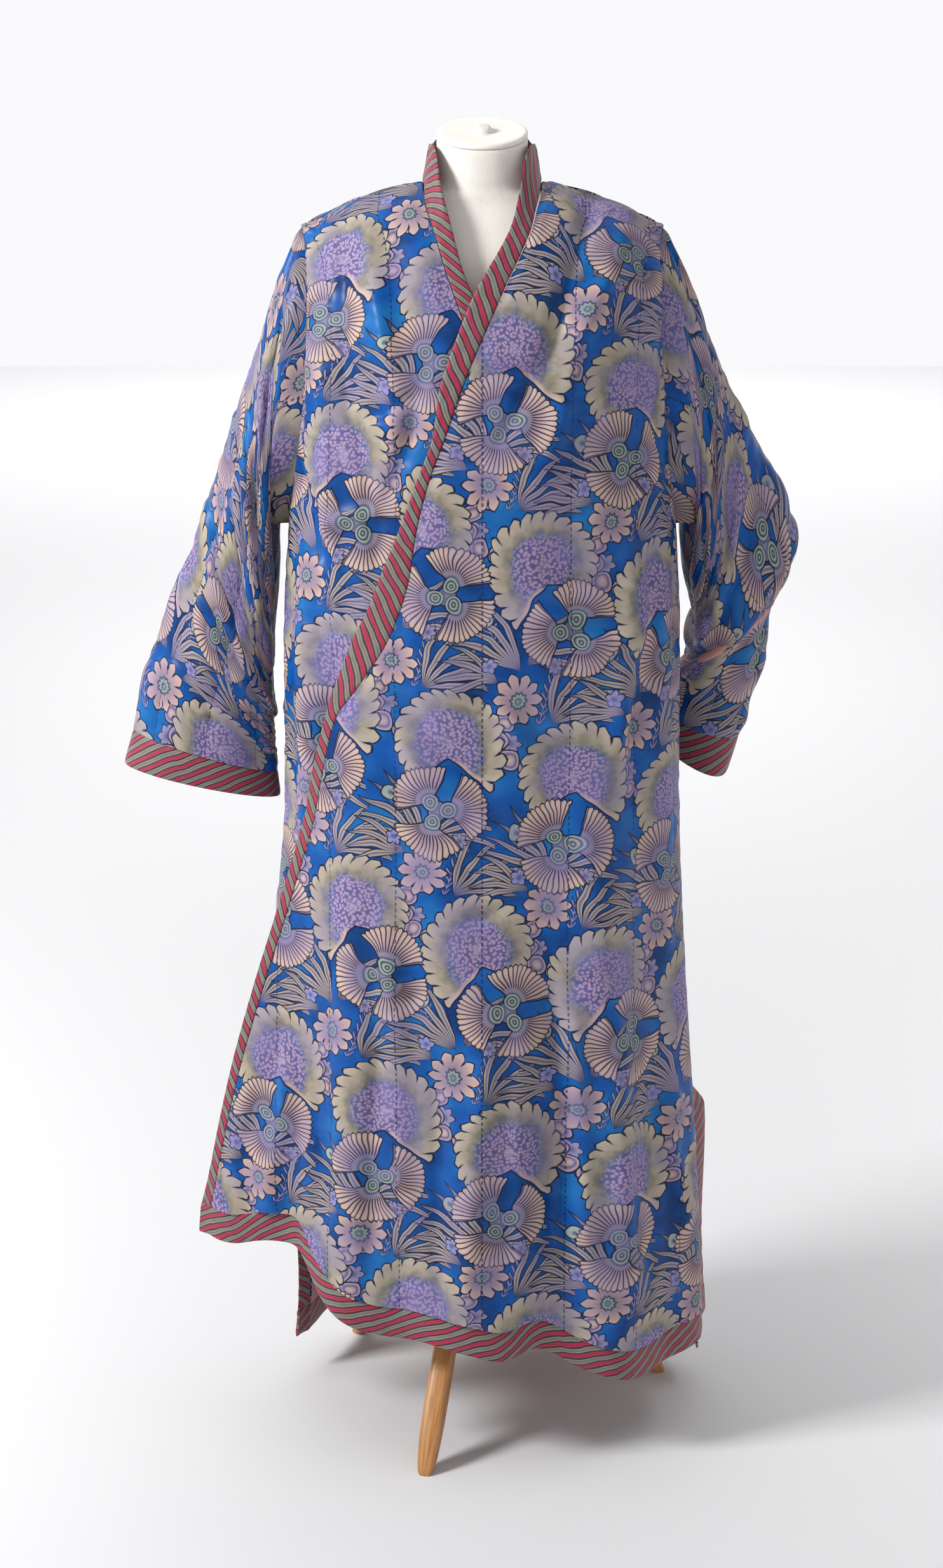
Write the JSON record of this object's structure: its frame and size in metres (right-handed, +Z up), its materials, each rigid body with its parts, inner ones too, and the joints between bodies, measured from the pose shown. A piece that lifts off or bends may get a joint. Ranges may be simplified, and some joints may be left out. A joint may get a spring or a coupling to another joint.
{
  "type": "quilted robe on dress form",
  "caption": "Long quilted wrap robe of flowered silk with striped edging, hung on a limbless dress form with a three-legged wooden stand.",
  "frame": {"origin": "middle of the bounding box in plan, on the floor under the feet", "axes": "+Z up, -Y the way the robe faces, +X towards the robe's own left side"},
  "size_m": [0.726, 0.4024, 1.4191],
  "materials": {
    "brocade": "blue satin woven with beige, pink and lilac flowers, quilted",
    "striped_edging": "matte cloth with crimson, grey-green and dark slanting stripes",
    "form": "smooth matte cream",
    "wood": "satin varnished beech",
    "pole": "brushed"
  },
  "bodies": {
    "root": {"left_front": "brocade", "right_front": "brocade", "back": "brocade", "left_front_band": "striped_edging", "right_front_band": "striped_edging", "left_front_slit_band": "striped_edging", "right_front_slit_band": "striped_edging", "back_left_slit_band": "striped_edging", "back_right_slit_band": "striped_edging", "left_front_hem_band": "striped_edging", "right_front_hem_band": "striped_edging", "back_hem_band": "striped_edging", "collar": "striped_edging", "left_sleeve": "brocade", "left_sleeve_cuff_band": "striped_edging", "right_sleeve": "brocade", "right_sleeve_cuff_band": "striped_edging", "form_torso": "form", "form_neck_cap": "form", "stand_pole": "pole", "stand_hub": "wood", "stand_leg_1": "wood", "stand_leg_2": "wood", "stand_leg_3": "wood"}
  },
  "joints": []
}
